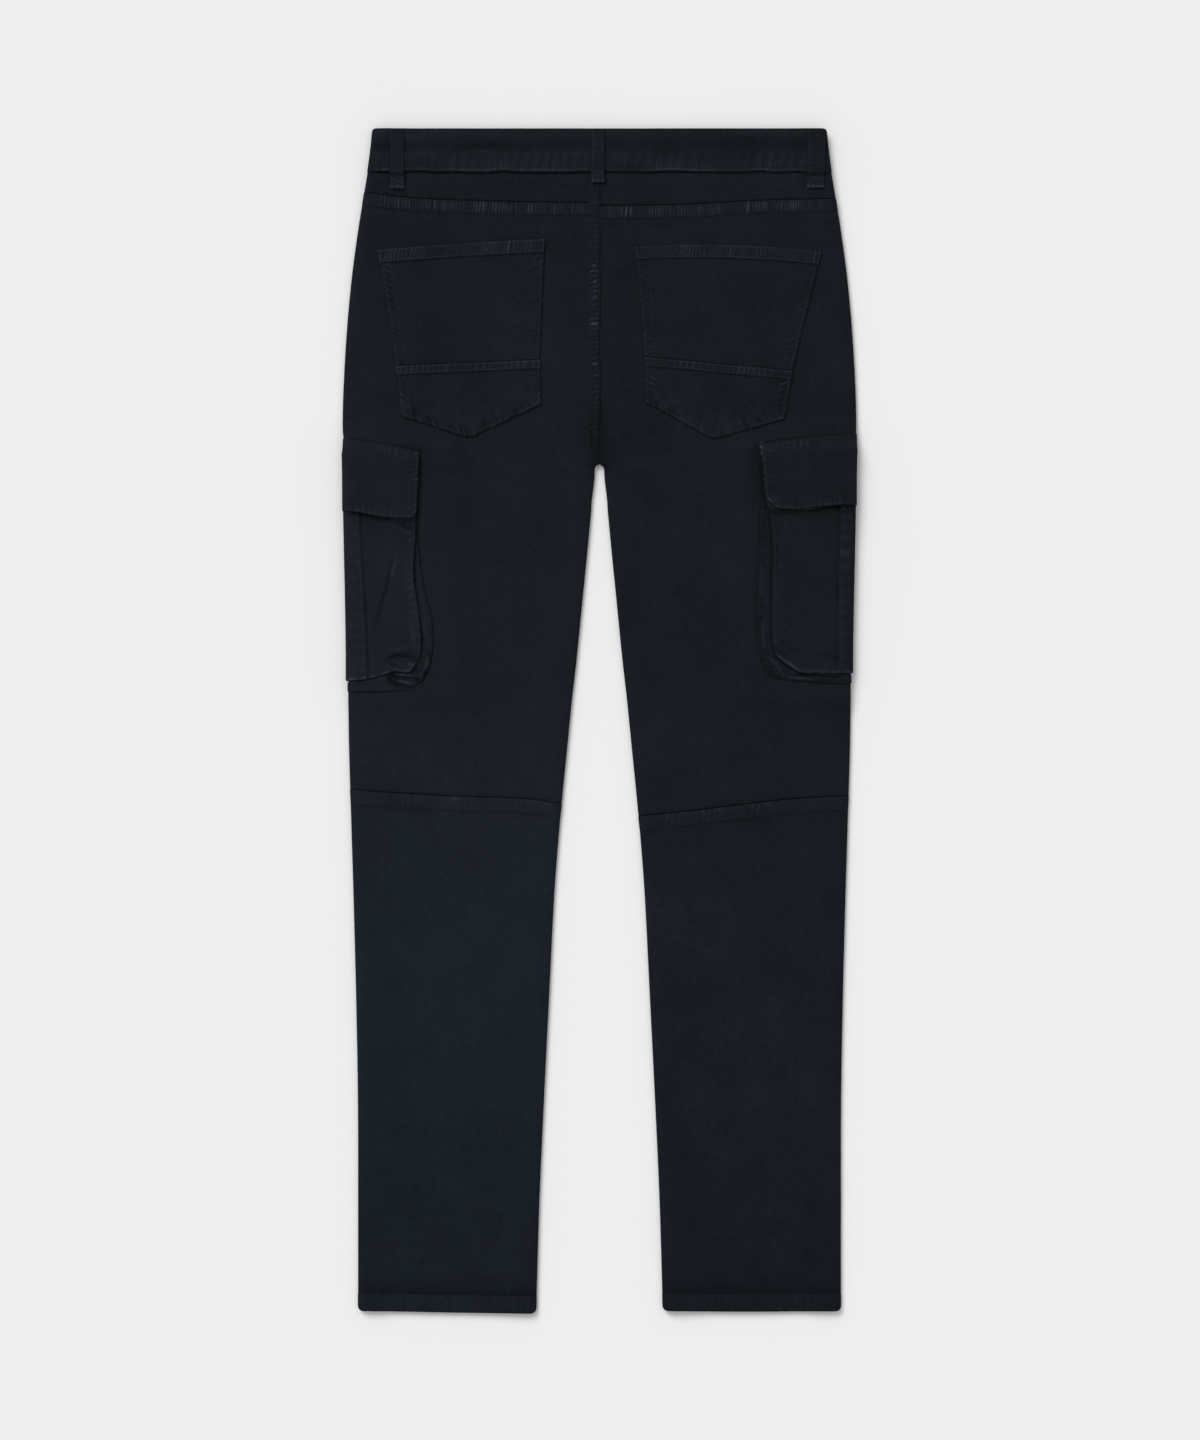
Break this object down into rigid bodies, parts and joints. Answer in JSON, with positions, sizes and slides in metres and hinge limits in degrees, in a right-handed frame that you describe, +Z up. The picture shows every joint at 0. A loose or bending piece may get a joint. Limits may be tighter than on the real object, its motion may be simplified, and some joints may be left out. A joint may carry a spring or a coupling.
{
  "type": "cargo trousers",
  "caption": "Slim cargo trousers in dark stretch twill, laid flat and face down, with patch pockets on the seat and flapped pleated pockets on the thighs.",
  "frame": {"origin": "middle of the footprint, on the surface that the trousers lie on", "axes": "+Y towards the waist, +X towards the wearer's right leg, +Z up out of the surface, through the back of the garment"},
  "size_m": [0.4797, 1.1018, 0.0141],
  "materials": {
    "twill": "matt garment-dyed cotton twill, near black with a blue cast",
    "button": "dark oxidised brass"
  },
  "bodies": {
    "root": {"waistband_back": "twill", "waistband_front_left": "twill", "waistband_front_right": "twill", "loop_back_left": "twill", "loop_back_centre": "twill", "loop_back_right": "twill", "loop_front_left": "twill", "loop_front_right": "twill", "yoke_left": "twill", "yoke_right": "twill", "seat_left": "twill", "seat_right": "twill", "calf_left": "twill", "calf_right": "twill", "front_left": "twill", "front_right": "twill", "fly": "twill", "waist_button": "button", "back_pocket_left_upper": "twill", "back_pocket_left_lower": "twill", "back_pocket_right_upper": "twill", "back_pocket_right_lower": "twill", "cargo_bag_left": "twill", "cargo_bag_right": "twill", "cargo_gusset_left": "twill", "cargo_gusset_right": "twill", "cargo_flap_left": "twill", "cargo_flap_right": "twill"}
  },
  "joints": []
}
